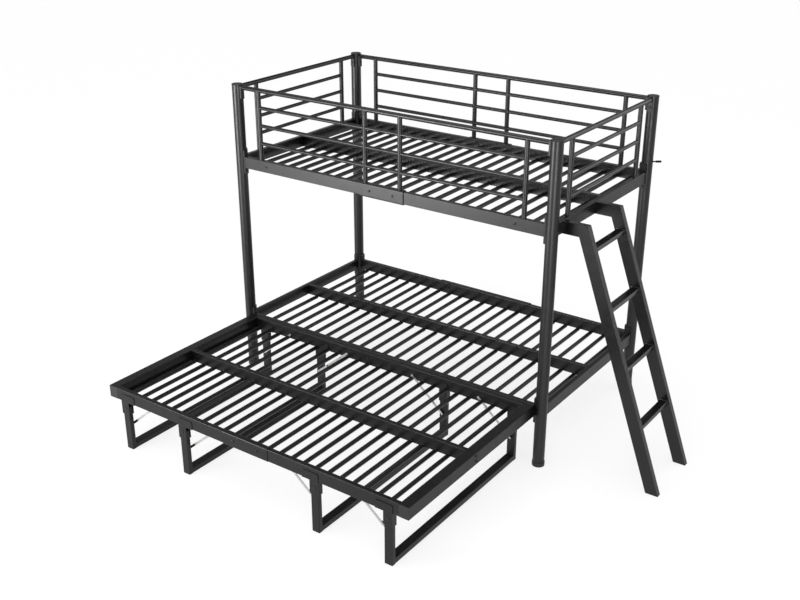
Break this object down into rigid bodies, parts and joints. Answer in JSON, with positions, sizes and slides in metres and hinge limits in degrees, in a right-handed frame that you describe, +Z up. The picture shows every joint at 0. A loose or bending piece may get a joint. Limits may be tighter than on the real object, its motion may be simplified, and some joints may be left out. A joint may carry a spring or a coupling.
{
  "type": "bunk bed with trundle",
  "caption": "Tubular steel bunk bed with guards, a leaning ladder and a separate trundle bed on folding legs.",
  "frame": {"origin": "centre of the front left post's foot, on the floor", "axes": "+X along the bed towards the ladder, +Y from the trundle side towards the back, +Z up"},
  "size_m": [2.5841, 2.182, 1.69],
  "materials": {
    "black_steel": "satin black powder coat",
    "zinc_steel": "bright zinc plate",
    "bolt_steel": "black oxide",
    "plain_steel": "plain steel, hidden",
    "black_plastic": "matt moulded"
  },
  "bodies": {
    "bunk": {"bunk_bolts": "bolt_steel", "bunk_nuts": "plain_steel", "foot_caps": "black_plastic", "guard_back": "black_steel", "guard_front": "black_steel", "guard_left_end": "black_steel", "guard_right_end": "black_steel", "inner_splices": "plain_steel", "ladder_back_stile": "black_steel", "ladder_foot_plugs": "black_plastic", "ladder_front_stile": "black_steel", "ladder_rungs": "black_steel", "lower_back_rail": "black_steel", "lower_front_rail": "black_steel", "lower_left_end_rail": "black_steel", "lower_middle_beam": "black_steel", "lower_post_back_left": "black_steel", "lower_post_back_right": "black_steel", "lower_post_front_left": "black_steel", "lower_post_front_right": "black_steel", "lower_right_end_rail": "black_steel", "lower_slats": "black_steel", "post_caps": "black_plastic", "post_peg": "black_steel", "post_saddles": "black_steel", "rail_sleeves": "black_steel", "upper_back_rail": "black_steel", "upper_front_rail": "black_steel", "upper_left_end_rail": "black_steel", "upper_middle_beam": "black_steel", "upper_post_back_left": "black_steel", "upper_post_back_right": "black_steel", "upper_post_front_left": "black_steel", "upper_post_front_right": "black_steel", "upper_right_end_rail": "black_steel", "upper_slats": "black_steel"},
    "trundle": {"trundle_bolts": "bolt_steel", "trundle_end_plugs": "black_plastic", "trundle_front_rail": "black_steel", "trundle_left_end_rail": "black_steel", "trundle_middle_beam": "black_steel", "trundle_rear_rail": "black_steel", "trundle_right_end_rail": "black_steel", "trundle_slats": "black_steel", "trundle_sleeves": "black_steel", "leg_hinge_pins": "bolt_steel", "leg_hinge_plates": "black_steel", "stay_tabs": "zinc_steel"},
    "leg_1": {"leg_1": "black_steel"},
    "stay_lower_1": {"stay_lower_1": "black_steel"},
    "stay_upper_1": {"stay_upper_1": "zinc_steel"},
    "leg_2": {"leg_2": "black_steel"},
    "stay_lower_2": {"stay_lower_2": "black_steel"},
    "stay_upper_2": {"stay_upper_2": "zinc_steel"},
    "leg_3": {"leg_3": "black_steel"},
    "stay_lower_3": {"stay_lower_3": "black_steel"},
    "stay_upper_3": {"stay_upper_3": "zinc_steel"},
    "leg_4": {"leg_4": "black_steel"},
    "stay_lower_4": {"stay_lower_4": "black_steel"},
    "stay_upper_4": {"stay_upper_4": "zinc_steel"}
  },
  "joints": [
    {"name": "trundle_slide", "type": "slide", "parent": "bunk", "child": "trundle", "axis": [0, -1, 0], "range_m": [0, 0.6]},
    {"name": "leg_fold_1", "type": "hinge", "parent": "trundle", "child": "leg_1", "pos_m": [0.1405, -0.55725, 0.24], "axis": [0, -1, 0], "range_deg": [0, 90]},
    {"name": "stay_lower_turn_1", "type": "hinge", "parent": "leg_1", "child": "stay_lower_1", "pos_m": [0.1405, -0.55725, 0.1335], "axis": [0, -1, 0], "range_deg": [0, 43]},
    {"name": "stay_upper_turn_1", "type": "hinge", "parent": "trundle", "child": "stay_upper_1", "pos_m": [0.2915, -0.55725, 0.2588], "axis": [0, -1, 0], "range_deg": [-36, 0]},
    {"name": "leg_fold_2", "type": "hinge", "parent": "trundle", "child": "leg_2", "pos_m": [0.552, -0.55725, 0.24], "axis": [0, -1, 0], "range_deg": [0, 90]},
    {"name": "stay_lower_turn_2", "type": "hinge", "parent": "leg_2", "child": "stay_lower_2", "pos_m": [0.552, -0.55725, 0.1335], "axis": [0, -1, 0], "range_deg": [0, 43]},
    {"name": "stay_upper_turn_2", "type": "hinge", "parent": "trundle", "child": "stay_upper_2", "pos_m": [0.703, -0.55725, 0.2588], "axis": [0, -1, 0], "range_deg": [-36, 0]},
    {"name": "leg_fold_3", "type": "hinge", "parent": "trundle", "child": "leg_3", "pos_m": [1.388, -0.55725, 0.24], "axis": [0, 1, 0], "range_deg": [0, 90]},
    {"name": "stay_lower_turn_3", "type": "hinge", "parent": "leg_3", "child": "stay_lower_3", "pos_m": [1.388, -0.55725, 0.1335], "axis": [0, 1, 0], "range_deg": [0, 43]},
    {"name": "stay_upper_turn_3", "type": "hinge", "parent": "trundle", "child": "stay_upper_3", "pos_m": [1.237, -0.55725, 0.2588], "axis": [0, 1, 0], "range_deg": [-36, 0]},
    {"name": "leg_fold_4", "type": "hinge", "parent": "trundle", "child": "leg_4", "pos_m": [1.7995, -0.55725, 0.24], "axis": [0, 1, 0], "range_deg": [0, 90]},
    {"name": "stay_lower_turn_4", "type": "hinge", "parent": "leg_4", "child": "stay_lower_4", "pos_m": [1.7995, -0.55725, 0.1335], "axis": [0, 1, 0], "range_deg": [0, 43]},
    {"name": "stay_upper_turn_4", "type": "hinge", "parent": "trundle", "child": "stay_upper_4", "pos_m": [1.6485, -0.55725, 0.2588], "axis": [0, 1, 0], "range_deg": [-36, 0]}
  ],
  "couplings": [
    {"joint": "stay_lower_turn_1", "follows": "leg_fold_1", "ratio": 0.47731},
    {"joint": "stay_upper_turn_1", "follows": "leg_fold_1", "ratio": -0.39288},
    {"joint": "stay_lower_turn_2", "follows": "leg_fold_2", "ratio": 0.47731},
    {"joint": "stay_upper_turn_2", "follows": "leg_fold_2", "ratio": -0.39288},
    {"joint": "stay_lower_turn_3", "follows": "leg_fold_3", "ratio": 0.47731},
    {"joint": "stay_upper_turn_3", "follows": "leg_fold_3", "ratio": -0.39288},
    {"joint": "stay_lower_turn_4", "follows": "leg_fold_4", "ratio": 0.47731},
    {"joint": "stay_upper_turn_4", "follows": "leg_fold_4", "ratio": -0.39288}
  ]
}
